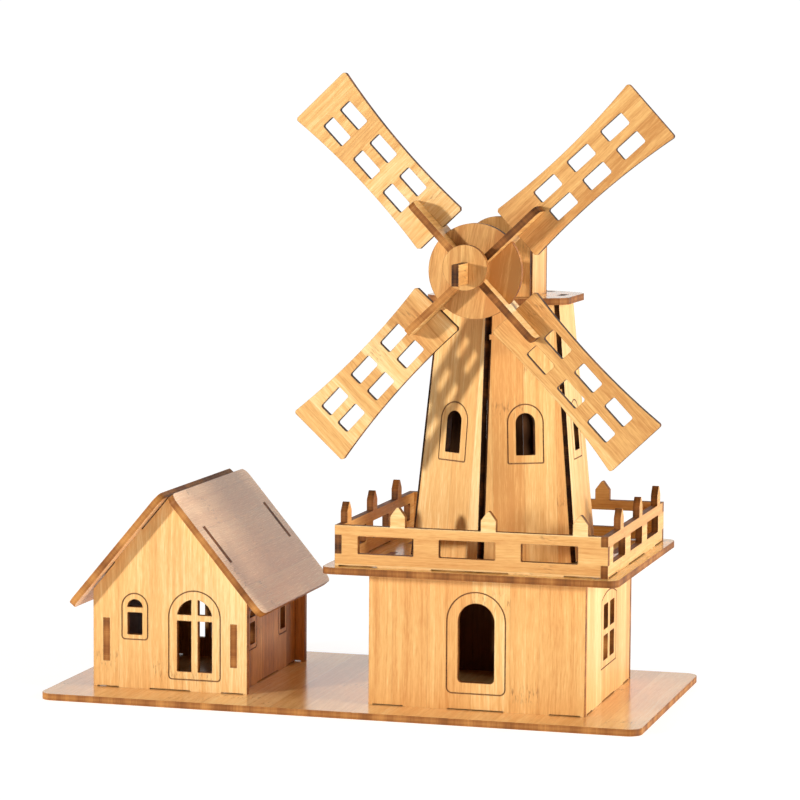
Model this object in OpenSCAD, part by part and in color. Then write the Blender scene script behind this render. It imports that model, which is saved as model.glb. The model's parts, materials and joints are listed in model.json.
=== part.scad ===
// Windmill and cottage on one board: a press-together jigsaw model cut from flat plywood sheet.
// Origin: centre of the board's underside. +Z is up, the doors and the sails face -Y.

/* [Sheet] */
// Thickness of the plywood that every piece is cut from
sheet = 3; // [2.9:0.05:3.1]
// Free space on each side of a tab in its slot
tab_fit = 0.05; // [0.03:0.01:0.10]
// Relief cut under a wall between its tabs, seen as a dark slit
seat_gap = 0.45; // [0.35:0.05:0.9]
// Depth of the laser-drawn outlines
line_depth = 0.3; // [0.2:0.05:0.5]
// Width of the laser-drawn outlines
line_width = 0.5; // [0.3:0.05:0.8]

/* [Base board] */
// Length of the board
base_l = 270; // [262:1:290]
// Depth of the board
base_w = 135; // [130:1:150]
// Corner radius of the board
base_r = 6; // [3:0.5:10]

/* [Mill block] */
// Distance of the mill's centre to the right of the board's centre
mill_x = 59; // [57:0.5:62]
// Side of the square block under the deck
block = 96; // [92:1:100]
// Height of the block's walls above the board
block_h = 59; // [57:0.5:64]
// Side of the square deck on top of the block
deck = 130; // [128:0.5:132]
// Corner radius of the deck
deck_r = 5; // [2:0.5:8]

/* [Fence] */
// Length of each fence panel
fence_l = 120; // [118:0.5:122]
// Height of the fence without its pickets
fence_h = 17.8; // [16:0.2:19]
// Height of the pickets above the deck
picket_top = 26.4; // [24:0.2:28]
// Distance between pickets
picket_pitch = 40; // [38:0.5:41]

/* [Tower] */
// Corner radius of the six-sided tower where it stands on the deck
tower_r0 = 43; // [41:0.5:45]
// Corner radius of the tower at its top
tower_r1 = 31.2; // [30:0.1:33]
// Height of the tower
tower_h = 112; // [105:1:120]
// Corner radius of the plate on the tower
top_plate_r = 36.5; // [35.5:0.5:38]

/* [Cap] */
// Width of the cap's arched end panels
cap_w = 29.4; // [29:0.2:30]
// Height of the arch's top above the tower plate
cap_h = 34.6; // [34:0.2:38]
// Height of the sail shaft above the tower plate
shaft_up = 13; // [12:0.5:14]
// Width of the flat shaft
shaft_w = 9; // [8.5:0.1:9.5]
// Free space around the shaft's corners in its round holes
shaft_play = 0.08; // [0.05:0.01:0.10]

/* [Sails] */
// Radius of the sails at their outer end
sail_r1 = 101.2; // [94:0.2:101.6]
// Radius of the sails at their inner end
sail_r0 = 23.5; // [23:0.1:25]
// Width of a sail at its outer end
sail_w1 = 30; // [28:0.2:32]
// Width of a sail at its inner end
sail_w0 = 26; // [25:0.2:28]
// Depth of the hollow curve along each side of a sail
sail_hollow = 2.3; // [1.5:0.1:2.6]
// Angle at which the sails are parked, away from an even X
sail_park = -1.5; // [-10:0.5:10]

/* [Cottage] */
// Distance of the cottage's centre to the left of the board's centre
house_x = -82; // [-84:0.5:-80]
// Width of the gable walls
house_w = 72; // [70:0.5:73]
// Depth of the cottage over its gable walls
house_l = 88; // [86:0.5:92]
// Height of the gable walls at their edges
eave_h = 44.5; // [44:0.5:48]
// Pitch of the roof
pitch = 50; // [49:0.5:51]
// Length of a roof panel down the slope
roof_s = 66.6; // [62:0.2:68]
// Length of a roof panel along the ridge
roof_l = 102; // [98:1:104]

/* [Hidden] */
$fn = 96;

face_wood = "burlywood";
edge_wood = "peru";

// Heights of the layers
deck_z = sheet + block_h;
deck_top = deck_z + sheet;
tower_top = deck_top + tower_h;
cap_z = tower_top + sheet;
shaft_z = cap_z + shaft_up;

// Tabs: half-distance between a pair, and width of each
block_tab_x = 22.5;
block_tab_w = 19;
fence_tab_x = 29;
fence_tab_w = 23;
gable_tab_x = 16.8;
gable_tab_w = 13.5;
side_tab_x = 22;
side_tab_w = 14;
tower_tab_w0 = 16;
tower_tab_w1 = 10;
cap_tab_w = 10;
// Uncut foot at each end of a wall, beside the relief
foot = 1.8;

// Tower taper
taper = atan((tower_r0 - tower_r1) * cos(30) / tower_h);
panel_l = tower_h / cos(taper);
// Adjoining panels meet at their inner corners, which leaves a V groove outside
groove = 1.75;
// Nubs left on one panel's edges where it was broken out of its sheet: height, and side seen from outside
nubs = [[98, -1], [74, 1]];
nub_w = 0.9;
nub_h = 2.2;

// Fence corner joint: the middle third is a tab
joint_z0 = 5.5;
joint_z1 = 13.5;
picket_w = 6.6;
picket_point = 3.9;
picket_end = 12;
fence_win = [24.8, 7.7];
fence_win_z = 5.6;
fence_win_x = -1.3;
fence_win_pitch = 36;

// Cap end panels, front and back, as distances from the tower's axis
cap_front_y = 17;
cap_back_y = 15;

// Rotor: places along the shaft, measured from the tower's axis towards the front
shaft_front_y = 88.5;
shaft_back_y = 22;
front_washer_y = 73;
disc_y = 55.7;
fin_front_y = 63;
fin_back_y = 43;
back_washer_y = -16;
disc_r = 20.3;
washer_r = 9.6;
washer_shift = 2.4;
fin_r0 = 5.5;
fin_r1 = 39;
fin_round = 3;
disc_lap_r = 12.5;
sail_lap_r = 31;
sail_win = [12.0, 6.0];
sail_win_r0 = 46.4;
sail_win_pitch = 19.2;
sail_col_pitch = 10.1;
sail_n = 24;
sail_round = 1.2;
// How far each sail has sagged in its slot, anticlockwise from the upper right one, as are the angles
sail_sag = [-1.1, 0, 3.6, 0];

// Cottage
gable_rise = house_w / 2 * tan(pitch);
side_face_x = 31.3;
side_joint_z = [11.8, 31];
roof_tab_s = 30.4;
roof_tab_w = 20;
roof_top = 1.1;
roof_r = 4.5;

// ---- Flat outlines ----

module rounded(w, h, r) {
    square([w - 2 * r, h], center = true);
    square([w, h - 2 * r], center = true);
    for (x = [-1, 1], y = [-1, 1])
        translate([x * (w / 2 - r), y * (h / 2 - r)]) circle(r);
}

// Round-topped opening standing on y = 0, with rounded lower corners
module arch(w, h, r) {
    translate([0, h - w / 2]) circle(d = w);
    translate([-w / 2, r]) square([w, h - w / 2 - r]);
    translate([r - w / 2, 0]) square([w - 2 * r, h / 2]);
    for (x = [-1, 1]) translate([x * (w / 2 - r), r]) circle(r);
}

module arch_line(w, h, r) {
    e = line_width / 2;
    difference() {
        translate([0, -e]) arch(w + 2 * e, h + 2 * e, r + e);
        translate([0, e]) arch(w - 2 * e, h - 2 * e, r - e);
    }
}

// Wall outline standing on y = 0, with a pair of tabs below and its relief
module wall_blank(w, h, tab_x, tab_w, up_tabs = false) {
    difference() {
        translate([-w / 2, 0]) square([w, h]);
        difference() {
            translate([foot - w / 2, -1]) square([w - 2 * foot, 1 + seat_gap]);
            tab_pair(tab_x, tab_w + 1.2, -1, 2 + seat_gap);
        }
    }
    tab_pair(tab_x, tab_w, -sheet, sheet + 1);
    if (up_tabs) tab_pair(tab_x, tab_w, h - 1, sheet + 1);
}

module tab_pair(x, w, y0, h) {
    for (s = [-1, 1]) translate([s * x - w / 2, y0]) square([w, h]);
}

// Slots for a tab pair of a wall whose outer face is at distance d, in plan
module slot_pair(x, w, d) {
    for (s = [-1, 1])
        translate([s * x - w / 2 - tab_fit, -d - tab_fit])
            square([w + 2 * tab_fit, sheet + 2 * tab_fit]);
}

module hexagon(r) {
    rotate(90) circle(r, $fn = 6);
}

// ---- Sheets in space ----

// A sheet lying flat: outline first, laser-drawn lines on its upper face second
module cut_sheet() {
    difference() {
        linear_extrude(sheet) children(0);
        if ($children > 1)
            translate([0, 0, sheet - line_depth]) linear_extrude(1) children(1);
    }
}

// Stands a flat sheet up, its upper face looking out at distance d from the centre
module stand(cx, turn, d, z) {
    translate([cx, 0, z]) rotate(turn) translate([0, sheet - d, 0]) rotate([90, 0, 0]) children();
}

// ---- Base board ----

module base_board() {
    color(face_wood)
    linear_extrude(sheet) difference() {
        rounded(base_l, base_w, base_r);
        translate([mill_x, 0]) for (a = [0 : 90 : 270])
            rotate(a) slot_pair(block_tab_x, block_tab_w, block / 2);
        translate([house_x, 0]) {
            for (a = [0, 180]) rotate(a) slot_pair(gable_tab_x, gable_tab_w, house_l / 2);
            for (a = [90, 270]) rotate(a) slot_pair(side_tab_x, side_tab_w, side_face_x);
        }
    }
}

// ---- Mill block ----

door_w = 16.3;
door_h = 34.7;
door_z = 12;
door_frame_w = 26;
door_frame_h = 44.2;
door_frame_z = 7.3;

pane = [9, 11];
pane_gap = 4;
pane_z = 18;
pane_rows = 13.7;
window_frame_w = 30.6;
window_frame_z = 14.8;
window_frame_h = 33.2;
frame_arc_r = 40.5;

module four_panes() {
    for (x = [-1, 1], row = [0, 1])
        translate([x * (pane[0] + pane_gap) / 2, pane_z + pane[1] / 2 + row * pane_rows])
            rounded(pane[0], pane[1], 0.6);
}

// Outline with a shallow arched head
module window_frame(grow) {
    intersection() {
        translate([-window_frame_w / 2 - grow, window_frame_z - grow])
            square([window_frame_w + 2 * grow, window_frame_h + 2 * grow]);
        translate([0, window_frame_z + window_frame_h - frame_arc_r])
            circle(frame_arc_r + grow, $fn = 180);
    }
}

module block_wall(w) {
    cut_sheet() {
        difference() {
            wall_blank(w, block_h, block_tab_x, block_tab_w, true);
            four_panes();
        }
        difference() {
            window_frame(line_width / 2);
            window_frame(-line_width / 2);
        }
    }
}

module mill_front_wall() {
    color(face_wood) stand(mill_x, 0, block / 2, sheet) cut_sheet() {
        difference() {
            wall_blank(block, block_h, block_tab_x, block_tab_w, true);
            translate([0, door_z]) arch(door_w, door_h, 2);
        }
        translate([0, door_frame_z]) arch_line(door_frame_w, door_frame_h, 2.5);
    }
}

module mill_back_wall() {
    color(face_wood) stand(mill_x, 180, block / 2, sheet) block_wall(block);
}

module mill_side_wall(turn) {
    color(face_wood) stand(mill_x, turn, block / 2, sheet)
        block_wall(block - 2 * sheet - 2 * tab_fit);
}

// ---- Deck and fence ----

module balcony_deck() {
    color(face_wood) translate([mill_x, 0, deck_z]) linear_extrude(sheet) difference() {
        rounded(deck, deck, deck_r);
        for (a = [0 : 90 : 270]) rotate(a) {
            slot_pair(block_tab_x, block_tab_w, block / 2);
            slot_pair(fence_tab_x, fence_tab_w, fence_l / 2);
        }
        for (k = [0 : 5]) rotate(60 * k) tower_slot(tower_r0, tower_tab_w0, 1);
    }
}

// Picket with a blunt point; its foot is sunk in the rail
module picket() {
    w = picket_w / 2;
    polygon([
        [-w, fence_h - 2], [w, fence_h - 2], [w, picket_top - picket_point],
        [0.75, picket_top - 0.45], [0.3, picket_top], [-0.3, picket_top],
        [-0.75, picket_top - 0.45], [-w, picket_top - picket_point]
    ]);
}

// All four panels are alike: the pickets stand nearer the right end, seen from outside
module fence(turn) {
    color(face_wood) stand(mill_x, turn, fence_l / 2, deck_top) linear_extrude(sheet)
    union() {
        difference() {
            wall_blank(fence_l, fence_h, fence_tab_x, fence_tab_w);
            for (k = [-1 : 1])
                translate([fence_win_x + k * fence_win_pitch, fence_win_z + fence_win[1] / 2])
                    rounded(fence_win[0], fence_win[1], 0.5);
            // Left end: a notch that takes the next panel's tab
            translate([-fence_l / 2 - 1, joint_z0 - tab_fit])
                square([sheet + 1 + tab_fit, joint_z1 - joint_z0 + 2 * tab_fit]);
            // Right end: only the middle reaches the corner
            for (y = [-1, joint_z1])
                translate([fence_l / 2 - sheet - tab_fit, y])
                    square([sheet + 1, y < 0 ? joint_z0 + 1 : fence_h - joint_z1 + 1]);
        }
        for (k = [0 : 2])
            translate([fence_l / 2 - picket_end - k * picket_pitch, 0]) picket();
    }
}

// ---- Tower ----

function tower_r(h) = tower_r0 + (tower_r1 - tower_r0) * h / tower_h;

// Slot for a leaning tab in a level plate, side +X; up = 1 for the deck below, -1 for the top plate
module tower_slot(r, w, up) {
    a = r * cos(30);
    lean = sheet * tan(taper);
    x0 = a - sheet / cos(taper) - (up > 0 ? 0 : lean) - tab_fit;
    x1 = a + (up > 0 ? lean : 0) + tab_fit;
    translate([x0, -w / 2 - tab_fit]) square([x1 - x0, w + 2 * tab_fit]);
}

// Trapezoid with tabs and a window
module tower_outline(with_nubs) {
    b0 = tower_r0 / 2 - groove;
    b1 = tower_r1 / 2 - groove;
    difference() {
        union() {
            polygon([[-b0, 0], [b0, 0], [b1, panel_l], [-b1, panel_l]]);
            translate([-tower_tab_w0 / 2, -sheet]) square([tower_tab_w0, 2 * sheet]);
            translate([-tower_tab_w1 / 2, panel_l - 1]) square([tower_tab_w1, sheet + 0.6]);
            if (with_nubs) for (nub = nubs)
                translate([nub[1] * (tower_r(nub[0]) / 2 - groove), nub[0] / cos(taper)])
                    square([2 * nub_w, nub_h], center = true);
        }
        translate([0, tower_win_z]) arch(8.7, 18.2, 0.4);
    }
}

tower_win_z = 47.2;
tower_frame_z = 43.7;

// k: which of the six sides, counted from the right-hand one
module tower_panel(k, with_nubs = false) {
    lift = sheet * tan(taper) + 0.02;
    color(face_wood) translate([mill_x, 0, deck_top]) rotate(60 * k)
    translate([tower_r0 * cos(30), 0, 0]) rotate([0, -taper, 0]) translate([0, 0, lift])
    rotate([0, 0, 90]) rotate([90, 0, 0]) translate([0, 0, -sheet]) cut_sheet() {
        tower_outline(with_nubs);
        translate([0, tower_frame_z]) arch_line(16, 25.5, 0.6);
    }
}

module tower_top_plate() {
    color(face_wood) translate([mill_x, 0, tower_top]) linear_extrude(sheet) difference() {
        intersection() {
            hexagon(top_plate_r);
            circle(top_plate_r - 1.5);
        }
        for (k = [0 : 5]) rotate(60 * k) tower_slot(tower_r1, tower_tab_w1, -1);
        cap_slot(0, cap_front_y);
        cap_slot(180, cap_back_y);
        for (a = [90, 270]) cap_slot(a, cap_side_x);
    }
}

module cap_slot(turn, d) {
    rotate(turn) translate([-cap_tab_w / 2 - tab_fit, -d - tab_fit])
        square([cap_tab_w + 2 * tab_fit, sheet + 2 * tab_fit]);
}

// ---- Cap ----

cap_side_x = 15.1;
cap_side_h = cap_h - cap_w / 2;
shaft_hole = sqrt(shaft_w * shaft_w + sheet * sheet) + 2 * shaft_play;

module cap_end(turn, d) {
    color(face_wood) difference() {
        stand(mill_x, turn, d, cap_z) linear_extrude(sheet) {
            arch(cap_w, cap_h, 0.01);
            translate([-cap_tab_w / 2, -sheet]) square([cap_tab_w, sheet + 1]);
        }
        translate([mill_x, 0, shaft_z]) rotate([90, 0, 0])
            cylinder(h = 2 * block, d = shaft_hole, center = true);
    }
}

module cap_side(turn) {
    l = cap_front_y + cap_back_y - 2 * sheet - 2 * tab_fit;
    shift = (turn > 0 ? 1 : -1) * (cap_back_y - cap_front_y) / 2;
    color(face_wood) stand(mill_x, turn, cap_side_x, cap_z) linear_extrude(sheet) {
        translate([shift - l / 2, 0]) square([l, cap_side_h]);
        translate([-cap_tab_w / 2, -sheet]) square([cap_tab_w, sheet + 1]);
    }
}

// ---- Rotor ----

// Local rotor frame: X and Y in the sail plane, Z towards the viewer, at height 0 = tower axis
module on_shaft() {
    translate([mill_x, 0, shaft_z]) rotate([90, 0, 0]) rotate(sail_park) children();
}

// Undoes the parking angle for the flat shaft, which stands upright at rest
module upright_on_shaft() {
    translate([mill_x, 0, shaft_z]) rotate([90, 0, 0]) children();
}

module shaft_slot() {
    square([sheet + 2 * tab_fit, shaft_w + 2 * tab_fit], center = true);
}

module sail_shaft() {
    color(edge_wood) upright_on_shaft()
        translate([-sheet / 2, -shaft_w / 2, -shaft_back_y])
            cube([sheet, shaft_w, shaft_front_y + shaft_back_y]);
}

module hub_disc() {
    color(face_wood) upright_on_shaft() translate([0, 0, disc_y - sheet])
    linear_extrude(sheet) difference() {
        circle(disc_r);
        shaft_slot();
        for (k = [0 : 3]) rotate(45 + sail_park + 90 * k)
            translate([disc_lap_r, -sheet / 2 - tab_fit])
                square([disc_r, sheet + 2 * tab_fit]);
    }
}

// The washer's slot is off its centre, so the disc stands a little high on the shaft
module washer(y) {
    color(face_wood) upright_on_shaft() translate([0, 0, y - sheet]) linear_extrude(sheet)
    difference() {
        translate([0, washer_shift]) circle(washer_r);
        shaft_slot();
    }
}

// Plate along the shaft; X is the radius and Y the place along the shaft
module fin_outline() {
    depth = fin_front_y - fin_back_y;
    difference() {
        union() {
            translate([(fin_r0 + fin_r1) / 2, (fin_front_y + fin_back_y) / 2])
                rounded(fin_r1 - fin_r0, depth, fin_round);
            translate([fin_r0, fin_back_y]) square([fin_round, depth]);
        }
        // Half-lap with the disc, from the inside
        translate([fin_r0 - 1, disc_y - sheet - tab_fit])
            square([disc_lap_r - tab_fit - fin_r0 + 1, sheet + 2 * tab_fit]);
        // Half-lap with the sail, from the outside
        translate([sail_lap_r + tab_fit, disc_y - 2 * sheet - tab_fit])
            square([fin_r1, sheet + 2 * tab_fit]);
    }
}

module hub_fin(k) {
    color(edge_wood) on_shaft() rotate(45 + 90 * k) rotate([90, 0, 0])
        translate([0, 0, -sheet / 2]) linear_extrude(sheet) fin_outline();
}

// Half-width of a sail at t, from 0 at its inner end to 1 at its outer end
function sail_half(t) = (sail_w0 + (sail_w1 - sail_w0) * t) / 2 - sail_hollow * 4 * t * (1 - t);

// Right-hand half of the outline, from the inner end out to the rounded outer corner
function sail_side(side) =
    let (l = sail_r1 - sail_r0, t1 = 1 - sail_round / l, y1 = sail_half(t1) - sail_round)
    concat(
        [[sail_r0, side * (sail_half(0) - 1)]],
        [for (i = [0 : sail_n]) let (t = 1 / l + (t1 - 1 / l) * i / sail_n)
            [sail_r0 + l * t, side * sail_half(t)]],
        [for (a = [75 : -15 : 0])
            [sail_r1 - sail_round * (1 - cos(a)), side * (y1 + sail_round * sin(a))]]
    );

module sail_blank() {
    right = sail_side(-1);
    left = sail_side(1);
    difference() {
        polygon(concat(right, [for (i = [len(left) - 1 : -1 : 0]) left[i]]));
        for (row = [0 : 2], s = [-1, 1])
            translate([sail_win_r0 + row * sail_win_pitch, s * sail_col_pitch / 2])
                rounded(sail_win[0], sail_win[1], 0.9);
    }
}

module sail(k) {
    color(face_wood) on_shaft() translate([0, 0, disc_y - 2 * sheet]) rotate(45 + 90 * k)
        linear_extrude(sheet) difference() {
            translate([sail_r0, 0]) rotate(sail_sag[k]) translate([-sail_r0, 0]) sail_blank();
            // Half-lap with the fin
            translate([sail_r0 - 2, -sheet / 2 - tab_fit])
                square([sail_lap_r - sail_r0 + 2, sheet + 2 * tab_fit]);
        }
}

// ---- Cottage ----

small_win_x = -16.4;
large_win_x = 11.6;
large_win_r = 8.2;
large_win_spring = 33;
bar = 3;

// Narrow window: a pane under a half-round light
module small_window(x, z) {
    translate([x, z + 5]) rounded(7, 10, 0.5);
    intersection() {
        translate([x, z + 12.3]) circle(3.6);
        translate([x - 5, z + 12.3]) square([10, 5]);
    }
}

module small_window_line(x, z) {
    translate([x, z - 2.1]) arch_line(12.1, 20.6, 1.5);
}

module large_window() {
    difference() {
        translate([large_win_x, 8.7])
            arch(2 * large_win_r, large_win_spring + large_win_r - 8.7, 0.5);
        translate([large_win_x - bar / 2, 0]) square([bar, 60]);
        translate([large_win_x - 20, 31.5]) square([40, 2.7]);
    }
}

// Point of the gable: s down the slope from the apex, n out from the roof's underside
function slope_pt(s, n, side) = [
    side * (s * cos(pitch) + n * sin(pitch)),
    eave_h + gable_rise - s * sin(pitch) + n * cos(pitch)
];

// Gable with a tab on each slope that passes up through the roof
module gable_outline() {
    n = -seat_gap;
    s0 = roof_tab_s - roof_tab_w / 2;
    s1 = roof_tab_s + roof_tab_w / 2;
    polygon([
        [-house_w / 2, eave_h / 2], [house_w / 2, eave_h / 2],
        [house_w / 2, eave_h - seat_gap / cos(pitch)],
        slope_pt(s1, n, 1), slope_pt(s1, sheet, 1), slope_pt(s0, sheet, 1), slope_pt(s0, n, 1),
        [0, eave_h + gable_rise - seat_gap / cos(pitch)],
        slope_pt(s0, n, -1), slope_pt(s0, sheet, -1), slope_pt(s1, sheet, -1), slope_pt(s1, n, -1),
        [-house_w / 2, eave_h - seat_gap / cos(pitch)]
    ]);
    wall_blank(house_w, eave_h * 0.7, gable_tab_x, gable_tab_w);
}

module gable_wall(turn) {
    color(face_wood) stand(house_x, turn, house_l / 2, sheet) cut_sheet() {
        difference() {
            gable_outline();
            for (s = [-1, 1])
                translate([s * (side_face_x - sheet / 2) - sheet / 2 - tab_fit,
                           side_joint_z[0] - tab_fit])
                    square([sheet + 2 * tab_fit, side_joint_z[1] - side_joint_z[0] + 2 * tab_fit]);
            small_window(small_win_x, 24.1);
            large_window();
        }
        union() {
            small_window_line(small_win_x, 24.1);
            translate([large_win_x, 5.2]) arch_line(24, large_win_spring + 12 - 5.2, 1.5);
        }
    }
}

side_wall_h = eave_h + (house_w / 2 - side_face_x) * tan(pitch) - 0.5;
side_win_x = 22;
side_win_z = 18.7;

module house_side_wall(turn) {
    inner_l = house_l - 2 * sheet - 2 * tab_fit;
    color(face_wood) stand(house_x, turn, side_face_x, sheet) cut_sheet() {
        difference() {
            union() {
                wall_blank(inner_l, side_wall_h, side_tab_x, side_tab_w);
                translate([-house_l / 2, side_joint_z[0]])
                    square([house_l, side_joint_z[1] - side_joint_z[0]]);
            }
            for (s = [-1, 1]) small_window(s * side_win_x, side_win_z);
        }
        for (s = [-1, 1]) small_window_line(s * side_win_x, side_win_z);
    }
}

module roof_panel(flip) {
    ridge_z = sheet + eave_h + gable_rise;
    color(edge_wood) translate([house_x, 0, ridge_z]) mirror([flip, 0, 0]) rotate([0, pitch, 0])
    linear_extrude(sheet) difference() {
        translate([roof_top + roof_s / 2, 0]) rounded(roof_s, roof_l, roof_r);
        for (s = [-1, 1])
            translate([roof_tab_s - roof_tab_w / 2 - 2 * tab_fit,
                       s * (house_l - sheet) / 2 - sheet / 2 - tab_fit])
                square([roof_tab_w + 2 * tab_fit, sheet + 2 * tab_fit]);
    }
}

base_board();
mill_front_wall();
mill_back_wall();
mill_side_wall(-90);  // mill_left_wall
mill_side_wall(90);  // mill_right_wall
balcony_deck();
fence(0);  // fence_front
fence(180);  // fence_back
fence(-90);  // fence_left
fence(90);  // fence_right
tower_panel(0);  // tower_panel_right
tower_panel(1);  // tower_panel_back_right
tower_panel(2);  // tower_panel_back_left
tower_panel(3);  // tower_panel_left
tower_panel(4);  // tower_panel_front_left
tower_panel(5, true);  // tower_panel_front_right
tower_top_plate();
cap_end(0, cap_front_y);  // cap_front_panel
cap_end(180, cap_back_y);  // cap_back_panel
cap_side(-90);  // cap_left_side
cap_side(90);  // cap_right_side
sail_shaft();
hub_disc();
washer(front_washer_y);  // hub_front_washer
washer(back_washer_y);  // hub_back_washer
hub_fin(0);  // hub_fin_upper_right
hub_fin(1);  // hub_fin_upper_left
hub_fin(2);  // hub_fin_lower_left
hub_fin(3);  // hub_fin_lower_right
sail(0);  // sail_upper_right
sail(1);  // sail_upper_left
sail(2);  // sail_lower_left
sail(3);  // sail_lower_right
gable_wall(0);  // house_front_wall
gable_wall(180);  // house_back_wall
house_side_wall(-90);  // house_left_wall
house_side_wall(90);  // house_right_wall
roof_panel(1);  // roof_left_panel
roof_panel(0);  // roof_right_panel
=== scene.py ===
import json
import math

import bpy
import numpy as np
from mathutils import Matrix, Vector


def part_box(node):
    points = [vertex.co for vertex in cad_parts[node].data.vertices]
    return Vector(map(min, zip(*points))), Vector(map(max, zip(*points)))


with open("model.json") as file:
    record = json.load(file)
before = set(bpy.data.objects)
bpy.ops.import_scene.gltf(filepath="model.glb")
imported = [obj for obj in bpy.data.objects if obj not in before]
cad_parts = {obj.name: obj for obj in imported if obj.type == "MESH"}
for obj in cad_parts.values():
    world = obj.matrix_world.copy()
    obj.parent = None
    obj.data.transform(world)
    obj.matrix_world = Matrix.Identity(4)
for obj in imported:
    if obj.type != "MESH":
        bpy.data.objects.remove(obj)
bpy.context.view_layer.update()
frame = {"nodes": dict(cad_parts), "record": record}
NODES = frame["nodes"]


# ---------- what sets one piece's wood apart from another's ----------

CORNERS = ("upper_right", "upper_left", "lower_left", "lower_right")

# Direction of the grain in the row frame, for the pieces whose grain isn't upright
GRAIN = {
    "base_board": (0, 1, 0),
    "balcony_deck": (0, 1, 0),
    "tower_top_plate": (1, 0, 0),
    "fence_front": (1, 0, 0),
    "fence_back": (1, 0, 0),
    "fence_left": (0, 1, 0),
    "fence_right": (0, 1, 0),
    "roof_left_panel": (0, 1, 0),
    "roof_right_panel": (0, 1, 0),
    "sail_upper_right": (1, 0, 1),
    "sail_upper_left": (1, 0, 1),
    "sail_lower_left": (1, 0, -1),
    "sail_lower_right": (1, 0, -1),
    "hub_disc": (0.15, 0, 1),
    "sail_shaft": (0, 1, 0),
}
GRAIN.update({"hub_fin_" + corner: (0, 1, 0) for corner in CORNERS})
UPRIGHT = (0, 0, 1)

# How pale a piece's sheet is, on a scale where the other pieces get a random 0 to 1. The values of the
# tower's two front panels, the cottage's right wall, the hub disc and the front washer are painted light
# and shade, not the sheet's own tone
TONE_AND_PAINTED_SHADING = {
    "sail_upper_right": -0.45,
    "sail_lower_right": 0.2,
    "sail_upper_left": 0.9,
    "sail_lower_left": 0.7,
    # Painted light: the front-left tower panel is made paler and the front-right panel darker, standing in
    # for how the light falls on them
    "tower_panel_front_left": 0.95,
    "tower_panel_front_right": -0.1,
    "house_front_wall": 0.55,
    # Painted shade: the cottage's right wall, which stands in the mill's shadow (it also gets the
    # painted-shade veneer)
    "house_right_wall": 0.3,
    # Painted shade: the hub disc and the front washer are darkened for the shadows of the fins and the
    # shaft end on them
    "hub_disc": -0.35,
    "hub_front_washer": -0.4,
}

# How burnt a piece's cut edges are: 0 is average, above it darker
CHAR = {
    "hub_fin_upper_left": -0.02,
    "hub_fin_lower_left": -0.14,
    "hub_fin_upper_right": 0.14,
    "hub_fin_lower_right": 0.10,
    "cap_front_panel": 0.24,
    "sail_shaft": 0.24,
    "roof_left_panel": -0.10,
    "roof_right_panel": -0.10,
    "base_board": -0.06,
}
CHAR.update({"sail_" + corner: 0.26 for corner in CORNERS})
CHAR_OF_TOWER, CHAR_OF_FENCE = 0.30, 0.10

# Centre of each hollow building in x, whose walls' inner faces are painted near-black as painted shade of
# the dark inside
MILL_AXIS = (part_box("tower_top_plate")[0][0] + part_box("tower_top_plate")[1][0]) / 2
HOUSE_AXIS = (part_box("house_front_wall")[0][0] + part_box("house_front_wall")[1][0]) / 2

# Material slots of every piece
VENEER, EDGE, LINE, INSIDE = 0, 1, 2, 3

CANDIDATES = 40      # how many of a piece's largest polygons may be the sheet's face
COPLANAR = 0.9995    # cosine between the normals of one flat face's polygons
PARALLEL = 0.99      # the same for a polygon that lies along the sheet
SKIN = 5e-5          # a polygon this close to the sheet's surface lies on it
LINE_DEPTH = 6e-4    # a wall lower than this is the side of a drawn line, not a cut edge
CM = 100             # the grain is measured in centimetres
GRAIN_SHIFT = 40     # how far apart in the sheet two pieces' grain may be taken from, in cm


# ---------- which polygons of a piece are veneer, cut edge or laser line ----------

def sheet_normal(areas, normals):
    """The direction that most of a flat piece's surface faces, either way."""
    best, best_area = None, 0.0
    for i in np.argsort(-areas)[:CANDIDATES]:
        n = normals[i]
        a = areas[np.abs(normals @ n) > COPLANAR].sum()
        if a > best_area:
            best, best_area = n, a
    return best


def char_of(name):
    """How burnt the cut edges of this piece are."""
    if name.startswith("tower_panel_"):
        return CHAR_OF_TOWER
    return CHAR.get(name, CHAR_OF_FENCE if name.startswith("fence_") else 0.0)


def inward(name, centres, normals):
    """True for the polygons that look into the building that a wall belongs to."""
    if name.startswith("house_"):
        axis = HOUSE_AXIS
    elif name.startswith(("mill_", "tower_panel_", "cap_")):
        axis = MILL_AXIS
    else:
        return np.zeros(len(centres), bool)
    out = centres[:, :2].mean(axis=0) - (axis, 0.0)
    return normals[:, :2] @ (out / np.linalg.norm(out)) < -0.5


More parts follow.
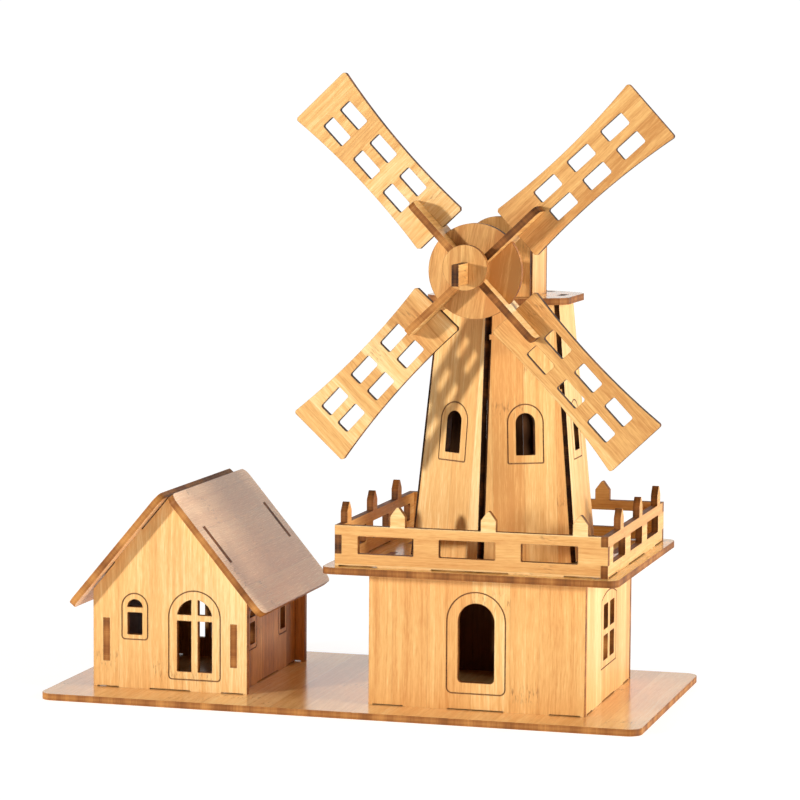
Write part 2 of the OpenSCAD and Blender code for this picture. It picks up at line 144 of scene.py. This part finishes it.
def prepare(name, obj, seed):
    """Sorts the polygons into the four slots, and stores the grain's coordinates, the sheet's paleness
    (with painted light and shade on some pieces) and the char.
    """
    me = obj.data
    count = len(me.polygons)
    normals = np.zeros(count * 3)
    areas = np.zeros(count)
    centres = np.zeros(count * 3)
    me.polygons.foreach_get("normal", normals)
    me.polygons.foreach_get("area", areas)
    me.polygons.foreach_get("center", centres)
    normals, centres = normals.reshape(-1, 3), centres.reshape(-1, 3)
    n = sheet_normal(areas, normals)
    co = np.zeros(len(me.vertices) * 3)
    me.vertices.foreach_get("co", co)
    co = co.reshape(-1, 3)
    depth = co @ n
    d0, d1 = depth.min(), depth.max()
    facing = np.abs(normals @ n) > PARALLEL
    at = centres @ n
    outer = (at < d0 + SKIN) | (at > d1 - SKIN)
    kind = np.full(count, EDGE)
    kind[facing & outer] = VENEER
    kind[facing & ~outer] = LINE
    kind[facing & outer & inward(name, centres, normals)] = INSIDE
    for i, poly in enumerate(me.polygons):
        if not facing[i]:
            d = depth[list(poly.vertices)]
            if d.max() - d.min() < LINE_DEPTH:
                kind[i] = LINE
    me.polygons.foreach_set("material_index", kind.astype(np.int32))

    along = np.array(GRAIN.get(name, UPRIGHT), float)
    along -= n * (along @ n)
    along /= np.linalg.norm(along)
    across = np.cross(along, n)
    rng = np.random.default_rng(seed)
    shift = rng.uniform(-GRAIN_SHIFT, GRAIN_SHIFT, 2)
    grain = np.stack([
        co @ across * CM + shift[0],
        co @ along * CM + shift[1],
        (depth - d0) * CM,
    ], axis=1)
    layer = me.attributes.new("grain", "FLOAT_VECTOR", "POINT")
    layer.data.foreach_set("vector", grain.astype(np.float32).ravel())
    tone_and_shading = me.attributes.new("tone_and_shading", "FLOAT", "POINT")
    tone_and_shading.data.foreach_set("value", np.full(len(co), TONE_AND_PAINTED_SHADING.get(name, rng.uniform()), np.float32))
    char = me.attributes.new("char", "FLOAT", "POINT")
    char.data.foreach_set("value", np.full(len(co), char_of(name), np.float32))


# ---------- node helpers ----------

class Graph:
    """Short hand for building one material's nodes."""

    def __init__(self, name):
        self.mat = bpy.data.materials.new(name)
        self.mat.use_nodes = True
        self.tree = self.mat.node_tree
        self.tree.nodes.clear()

    def node(self, kind, inputs=None, **settings):
        n = self.tree.nodes.new(kind)
        for k, v in settings.items():
            setattr(n, k, v)
        for k, v in (inputs or {}).items():
            if isinstance(v, bpy.types.NodeSocket):
                self.tree.links.new(v, n.inputs[k])
            else:
                n.inputs[k].default_value = v
        return n

    def math(self, op, a, b=None):
        ins = {0: a}
        if b is not None:
            ins[1] = b
        return self.node("ShaderNodeMath", ins, operation=op).outputs[0]

    def scaled(self, vector, x, y, z):
        n = self.node("ShaderNodeVectorMath", {0: vector, 1: (x, y, z)}, operation="MULTIPLY")
        return n.outputs[0]

    def noise(self, vector, detail=2.0, rough=0.5):
        n = self.node("ShaderNodeTexNoise", {
            "Vector": vector, "Scale": 1.0, "Detail": detail, "Roughness": rough})
        return n.outputs["Fac"]

    def ramp(self, value, *stops):
        n = self.node("ShaderNodeValToRGB", {0: value})
        els = n.color_ramp.elements
        while len(els) < len(stops):
            els.new(0.5)
        for e, (pos, colour) in zip(els, stops):
            e.position = pos
            e.color = (*colour, 1)
        return n.outputs[0]

    def remap(self, value, a, b, c=0.0, d=1.0):
        """Smoothly takes a..b to c..d."""
        n = self.node("ShaderNodeMapRange", {0: value, 1: a, 2: b, 3: c, 4: d},
                      interpolation_type="SMOOTHSTEP")
        return n.outputs[0]

    def stain(self, fac, under, colour):
        """The socket under, with a plain colour over it."""
        n = self.node("ShaderNodeMix", {"Factor": fac}, data_type="RGBA")
        self.tree.links.new(under, n.inputs[6])
        n.inputs[7].default_value = (*colour, 1)
        return n.outputs[2]

    def attribute(self, name, out):
        return self.node("ShaderNodeAttribute", attribute_name=name).outputs[out]

    def finish(self, colour, roughness, height, strength, distance, specular=0.5):
        bump = self.node("ShaderNodeBump", {"Height": height, "Strength": strength, "Distance": distance})
        bsdf = self.node("ShaderNodeBsdfPrincipled", {
            "Base Color": colour, "Roughness": roughness, "Normal": bump.outputs[0],
            "Specular IOR Level": specular,
        })
        self.node("ShaderNodeOutputMaterial", {"Surface": bsdf.outputs[0]})
        return self.mat


STRIPS_PER_CM = 0.62
HALF_NODE_SPACING_CM = 8.5    # growth bands come twice this far apart along a strip
STAIN_WIDTH = 0.0007
HALF_PLY_CM = 0.15            # the sheet is 3 mm thick
FACE_RELIEF, EDGE_RELIEF = 0.0002, 0.0003


def veneer(name, dark, mid, light, scorch, rough=0.45, specular=0.3, relief=0.25):
    """Bamboo-faced ply: glued strips, fine fibres, darker growth bands across them, and a browned rim."""
    g = Graph(name)
    co = g.attribute("grain", "Vector")
    tone_and_shading = g.attribute("tone_and_shading", "Fac")
    sep = g.node("ShaderNodeSeparateXYZ", {0: co})
    u, v = sep.outputs[0], sep.outputs[1]

    # Strips of random width, each with its own tone
    cells = {"W": u, "Scale": STRIPS_PER_CM, "Randomness": 0.85}
    strip = g.node("ShaderNodeTexVoronoi", cells, voronoi_dimensions="1D", feature="F1")
    pick = g.node("ShaderNodeSeparateColor", {0: strip.outputs["Color"]})
    strip_tone, strip_shift = pick.outputs[0], pick.outputs[1]
    joint = g.node("ShaderNodeTexVoronoi", cells, voronoi_dimensions="1D", feature="DISTANCE_TO_EDGE")
    joint_line = g.remap(joint.outputs["Distance"], 0.0, 0.035, 1.0, 0.0)

    # Fibres
    wander = g.noise(g.scaled(co, 0.25, 0.10, 0.0), 1.0)
    sway = g.node("ShaderNodeCombineXYZ", {0: g.math("MULTIPLY", wander, 0.5)}).outputs[0]
    bent = g.node("ShaderNodeVectorMath", {0: co, 1: sway}, operation="ADD").outputs[0]
    broad = g.noise(g.scaled(bent, 1.5, 0.05, 0.0), 2.0)
    streak = g.noise(g.scaled(bent, 6.0, 0.12, 0.0), 3.0, 0.6)
    fibre = g.noise(g.scaled(bent, 30.0, 0.9, 0.0), 2.0, 0.6)
    fleck = g.noise(g.scaled(bent, 17.0, 1.5, 0.0), 3.0, 0.65)

    value = g.math("ADD", g.math("MULTIPLY", strip_tone, 0.20), g.math("MULTIPLY", broad, 0.26))
    value = g.math("ADD", value, g.math("MULTIPLY", streak, 0.40))
    value = g.math("ADD", value, g.math("MULTIPLY", fibre, 0.20))
    value = g.math("ADD", value, g.math("MULTIPLY", fleck, 0.34))
    # Per-piece paleness; on the tower's front panels, the cottage's right wall, the hub disc and the washer
    # it is painted light and shade
    value = g.math("ADD", value, g.math("MULTIPLY", g.math("SUBTRACT", tone_and_shading, 0.7), 0.16))
    colour = g.ramp(value, (0.48, dark), (0.67, mid), (0.86, light))

    # Growth bands: short dark dashes at one height of each strip
    place = g.math("ADD", v, g.math("MULTIPLY", strip_shift, 2 * HALF_NODE_SPACING_CM))
    place = g.math("ABSOLUTE", g.math("PINGPONG", place, HALF_NODE_SPACING_CM))
    band = g.remap(place, 0.0, 0.75, 1.0, 0.0)
    dash = g.noise(g.scaled(co, 11.0, 2.4, 0.0), 2.0, 0.6)
    dash = g.remap(dash, 0.50, 0.72, 0.0, 1.0)
    band = g.math("MULTIPLY", g.math("MULTIPLY", band, dash), 0.6)
    colour = g.stain(band, colour, scorch)
    colour = g.stain(g.math("MULTIPLY", joint_line, 0.10), colour, scorch)

    # Smoke stain beside every laser cut
    soft = g.node("ShaderNodeBevel", {"Radius": STAIN_WIDTH}, samples=6)
    true = g.node("ShaderNodeNewGeometry").outputs["True Normal"]
    turn = g.node("ShaderNodeVectorMath", {0: soft.outputs[0], 1: true}, operation="DOT_PRODUCT")
    rim = g.remap(turn.outputs["Value"], 0.995, 0.72, 0.0, 1.0)
    smoke = g.noise(g.scaled(co, 4.0, 4.0, 0.0), 2.0)
    rim = g.math("MULTIPLY", rim, g.remap(smoke, 0.3, 0.7, 0.45, 0.9))
    colour = g.stain(rim, colour, scorch)

    height = g.math("ADD", g.math("MULTIPLY", fibre, 0.7), g.math("MULTIPLY", streak, 0.5))
    height = g.math("SUBTRACT", height, g.math("MULTIPLY", joint_line, 0.5))
    roughness = g.remap(fibre, 0.2, 0.8, rough - 0.06, rough + 0.10)
    return g.finish(colour, roughness, height, relief, FACE_RELIEF, specular)


def cut_edge(name, dark, mid, light):
    """Laser-cut edge: browned wood with the kerf's striations and the ply's layers."""
    g = Graph(name)
    co = g.attribute("grain", "Vector")
    sep = g.node("ShaderNodeSeparateXYZ", {0: co})
    w = sep.outputs[2]
    kerf = g.noise(g.scaled(co, 14.0, 14.0, 0.6), 2.0, 0.6)
    patch = g.noise(g.scaled(co, 1.1, 1.1, 0.3), 2.0)
    grit = g.noise(g.scaled(co, 40.0, 40.0, 30.0), 1.0)
    # Three plies: the middle one is a little paler
    centre = g.math("ABSOLUTE", g.math("SUBTRACT", w, HALF_PLY_CM))
    core = g.remap(centre, 0.05, 0.075, 1.0, 0.0)
    glue = g.remap(g.math("ABSOLUTE", g.math("SUBTRACT", centre, 0.065)), 0.0, 0.012, 1.0, 0.0)
    value = g.math("ADD", g.math("MULTIPLY", kerf, 0.24), g.math("MULTIPLY", patch, 0.76))
    value = g.math("ADD", value, g.math("MULTIPLY", core, 0.05))
    value = g.math("SUBTRACT", value, g.math("MULTIPLY", glue, 0.07))
    value = g.math("SUBTRACT", value, g.attribute("char", "Fac"))
    colour = g.ramp(value, (0.20, dark), (0.52, mid), (0.82, light))
    height = g.math("ADD", kerf, g.math("MULTIPLY", grit, 0.5))
    roughness = g.remap(grit, 0.2, 0.8, 0.48, 0.66)
    return g.finish(colour, roughness, height, 0.35, EDGE_RELIEF, 0.2)


def laser_line(name):
    """Floor and walls of the drawn outlines: charred, uneven wood."""
    g = Graph(name)
    co = g.attribute("grain", "Vector")
    char = g.noise(g.scaled(co, 9.0, 9.0, 9.0), 3.0, 0.6)
    colour = g.ramp(char, (0.30, (0.07, 0.025, 0.006)), (0.70, (0.32, 0.13, 0.034)))
    return g.finish(colour, g.remap(char, 0.2, 0.8, 0.6, 0.8), char, 0.4, FACE_RELIEF)


# ---------- the wood ----------

# Dark, middle and pale of each veneer
WALL_TONES = ((0.62, 0.285, 0.080), (0.79, 0.455, 0.160), (0.95, 0.70, 0.35))
DECK_TONES = ((0.72, 0.34, 0.085), (0.88, 0.52, 0.160), (0.96, 0.70, 0.32))
SAIL_TONES = ((0.52, 0.230, 0.060), (0.76, 0.43, 0.145), (0.94, 0.68, 0.34))
ROOF_TONES = ((0.84, 0.50, 0.27), (0.94, 0.61, 0.35), (0.98, 0.74, 0.48))
BOARD_TONES = ((0.78, 0.42, 0.145), (0.92, 0.56, 0.225), (0.98, 0.72, 0.36))
# Painted shade: darkened veneer standing in for shade, for the cottage's right wall in the mill's shadow
# and the inner face of the cottage's back wall
PAINTED_SHADE_TONES = ((0.28, 0.105, 0.025), (0.58, 0.26, 0.075), (0.84, 0.48, 0.17))
# Painted shade: near-black veneer for the inner faces of the buildings' walls, standing in for the shade
# inside them
INSIDE_SHADE_TONES = ((0.12, 0.045, 0.016), (0.19, 0.075, 0.028), (0.27, 0.115, 0.045))
SCORCH = (0.20, 0.080, 0.025)

# The level sheets and the roof are glossier than the walls
WALL = veneer("wall_veneer", *WALL_TONES, SCORCH)
DECK = veneer("deck_veneer", *DECK_TONES, SCORCH, 0.14, 0.45, 0.06)
SAIL = veneer("sail_veneer", *SAIL_TONES, SCORCH)
ROOF = veneer("roof_veneer", *ROOF_TONES, (0.16, 0.064, 0.024), 0.22, 0.65, 0.06)
BOARD = veneer("board_veneer", *BOARD_TONES, SCORCH, 0.16, 0.55, 0.06)
# Painted shade: the darkened veneer of the cottage's shaded right wall and of its back wall's inner face
PAINTED_SHADE = veneer("painted_shade_veneer", *PAINTED_SHADE_TONES, (0.10, 0.036, 0.010))
# Painted shade: the near-black inner faces of the buildings
INSIDE_SHADE = veneer("painted_inside_shade", *INSIDE_SHADE_TONES, (0.05, 0.018, 0.006), 0.6, 0.2)
EDGES = cut_edge("cut_edge", (0.035, 0.011, 0.003), (0.27, 0.092, 0.018), (0.60, 0.27, 0.070))
LINES = laser_line("laser_line")

SLOT_OF = {s["node"]: s["material_slot"] for s in frame["record"]["subparts"]}
FACE_OF_SLOT = {"board_ply": BOARD, "wall_ply": WALL, "sail_ply": SAIL, "roof_ply": ROOF, "burnt_ply": SAIL}
# The cottage's right wall gets the painted-shade veneer for the mill's shadow on it, and the inner face of
# its back wall gets it as painted shade of the room
FACE_OF = {"balcony_deck": DECK, "tower_top_plate": DECK, "house_right_wall": PAINTED_SHADE}
INSIDE_OF = {"house_back_wall": PAINTED_SHADE}
FIRST_SEED = 1000

for index, name in enumerate(sorted(NODES)):
    piece = NODES[name]
    piece.data.materials.clear()
    face = FACE_OF.get(name, FACE_OF_SLOT[SLOT_OF[name]])
    for mat in (face, EDGES, LINES, INSIDE_OF.get(name, INSIDE_SHADE)):
        piece.data.materials.append(mat)
    prepare(name, piece, FIRST_SEED + index)


# ---------- floor, light and camera ----------

# White floor, which glows a little so that it stays white
FLOOR_SIZE, FLOOR_DROP = 12, 0.0002
bpy.ops.mesh.primitive_plane_add(size=FLOOR_SIZE, location=(0, 0, -FLOOR_DROP))
floor = bpy.context.object
floor.name = "floor"
g = Graph("floor_white")
pos = g.node("ShaderNodeTexCoord").outputs["Object"]
speck = g.noise(g.scaled(pos, 60.0, 60.0, 60.0), 2.0)
bsdf = g.node("ShaderNodeBsdfPrincipled", {
    "Base Color": g.ramp(speck, (0.3, (0.39, 0.39, 0.39)), (0.7, (0.40, 0.40, 0.40))),
    "Roughness": 0.85, "Emission Color": (1, 1, 1, 1), "Emission Strength": 0.80,
})
g.node("ShaderNodeOutputMaterial", {"Surface": bsdf.outputs[0]})
floor.data.materials.append(g.mat)

# White sweep behind the model, bright enough to be mirrored in the varnish
SWEEP_PLACE, SWEEP_TURN, SWEEP_SIZE = (-0.9, 3.2, 1.6), math.radians(15), (9, 3.8, 1)
bpy.ops.mesh.primitive_plane_add(size=1, location=SWEEP_PLACE, rotation=(math.radians(90), 0, SWEEP_TURN))
sweep = bpy.context.object
sweep.name = "backdrop"
sweep.scale = SWEEP_SIZE
g = Graph("backdrop_white")
pos = g.node("ShaderNodeTexCoord").outputs["Generated"]
cloud = g.noise(g.scaled(pos, 1.5, 1.5, 1.5), 1.0)
glow = g.node("ShaderNodeEmission", {
    "Color": g.ramp(cloud, (0.3, (0.985, 0.985, 0.985)), (0.7, (1.0, 1.0, 1.0))), "Strength": 1.05})
g.node("ShaderNodeOutputMaterial", {"Surface": glow.outputs[0]})
sweep.data.materials.append(g.mat)

world = bpy.data.worlds.new("studio")
bpy.context.scene.world = world
world.use_nodes = True
sky = world.node_tree.nodes["Background"]
sky.inputs["Color"].default_value = (1.0, 0.99, 0.975, 1)
sky.inputs["Strength"].default_value = 0.12


def area_light(name, place, target, width, height, power, colour):
    data = bpy.data.lights.new(name, "AREA")
    data.shape = "ELLIPSE" if width == height else "RECTANGLE"
    data.size = width
    data.size_y = height
    data.energy = power
    data.color = colour
    obj = bpy.data.objects.new(name, data)
    bpy.context.scene.collection.objects.link(obj)
    obj.location = place
    obj.rotation_euler = (Vector(target) - Vector(place)).to_track_quat("-Z", "Y").to_euler()


area_light("key", (-1.71, -1.91, 0.55), (0.0, 0.0, 0.12), 0.24, 0.24, 58, (1.0, 0.955, 0.88))
area_light("side_low", (2.28, -0.10, 0.18), (0.0, 0.0, 0.16), 0.40, 0.30, 29, (1.0, 0.97, 0.92))
area_light("side_high", (2.13, -0.52, 0.78), (0.0, 0.0, 0.10), 0.50, 0.60, 26, (1.0, 0.97, 0.92))

YAW, PITCH, ROLL = math.radians(15.74), math.radians(-5.78), math.radians(0.38)
CAMERA_PLACE = Vector((0.40103, -1.38445, 0.27695))
LENS_MM, SENSOR_MM = 146.2356, 36

forward = Vector((-math.sin(YAW) * math.cos(PITCH), math.cos(YAW) * math.cos(PITCH), math.sin(PITCH)))
level_right = Vector((math.cos(YAW), math.sin(YAW), 0))
level_up = level_right.cross(forward)
right = level_right * math.cos(ROLL) + level_up * math.sin(ROLL)
up = level_up * math.cos(ROLL) - level_right * math.sin(ROLL)

cam_data = bpy.data.cameras.new("camera")
cam = bpy.data.objects.new("camera", cam_data)
bpy.context.scene.collection.objects.link(cam)
cam.matrix_world = Matrix((
    (right.x, up.x, -forward.x, CAMERA_PLACE.x),
    (right.y, up.y, -forward.y, CAMERA_PLACE.y),
    (right.z, up.z, -forward.z, CAMERA_PLACE.z),
    (0, 0, 0, 1),
))
cam_data.sensor_width = SENSOR_MM
cam_data.lens = LENS_MM
cam_data.clip_end = 50
bpy.context.scene.camera = cam
bpy.context.scene.view_settings.view_transform = "Standard"
